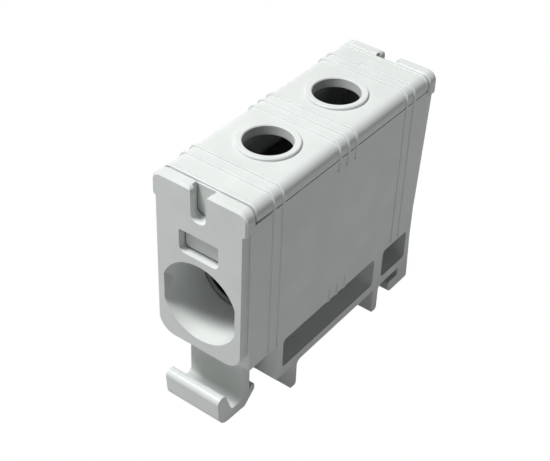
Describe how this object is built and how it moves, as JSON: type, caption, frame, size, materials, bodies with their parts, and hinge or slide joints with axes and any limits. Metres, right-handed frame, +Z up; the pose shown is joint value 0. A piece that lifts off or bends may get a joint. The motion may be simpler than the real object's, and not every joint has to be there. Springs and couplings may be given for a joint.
{
  "type": "connection terminal",
  "caption": "Feed-through wire terminal block for a 35 mm mounting rail, with funnel wire entries, screwdriver holes in a snap-fit lid, and a sprung rail foot.",
  "frame": {"origin": "the rail's seat on the underside of the base, in the middle of the rail's width and of the terminal's width", "axes": "+X along the wire, from the sprung foot's end to the fixed hook's end; +Y across the terminal, along the rail; +Z up, away from the rail"},
  "size_m": [0.047, 0.016, 0.0401],
  "materials": {
    "grey_moulding": "satin moulded",
    "plated_block": "tin plated",
    "plated_steel": "zinc plated"
  },
  "bodies": {
    "terminal": {"housing": "grey_moulding", "terminal_block": "plated_block"},
    "lid": {"lid": "grey_moulding"},
    "near_screw": {"near_clamp_screw": "plated_steel"},
    "far_screw": {"far_clamp_screw": "plated_steel"},
    "clip": {"rail_clip": "grey_moulding"}
  },
  "joints": [
    {"name": "lid_lift", "type": "slide", "parent": "terminal", "child": "lid", "axis": [0, 0, 1], "range_m": [0, 0.012]},
    {"name": "near_screw_travel", "type": "slide", "parent": "terminal", "child": "near_screw", "axis": [0, 0, -1], "range_m": [0, 0.005]},
    {"name": "far_screw_travel", "type": "slide", "parent": "terminal", "child": "far_screw", "axis": [0, 0, -1], "range_m": [0, 0.005]},
    {"name": "clip_release", "type": "hinge", "parent": "terminal", "child": "clip", "pos_m": [-0.01847, 0, 0.00805], "axis": [0, 1, 0], "range_deg": [0, 8.5], "stiffness_Nm_per_rad": 0.2}
  ]
}
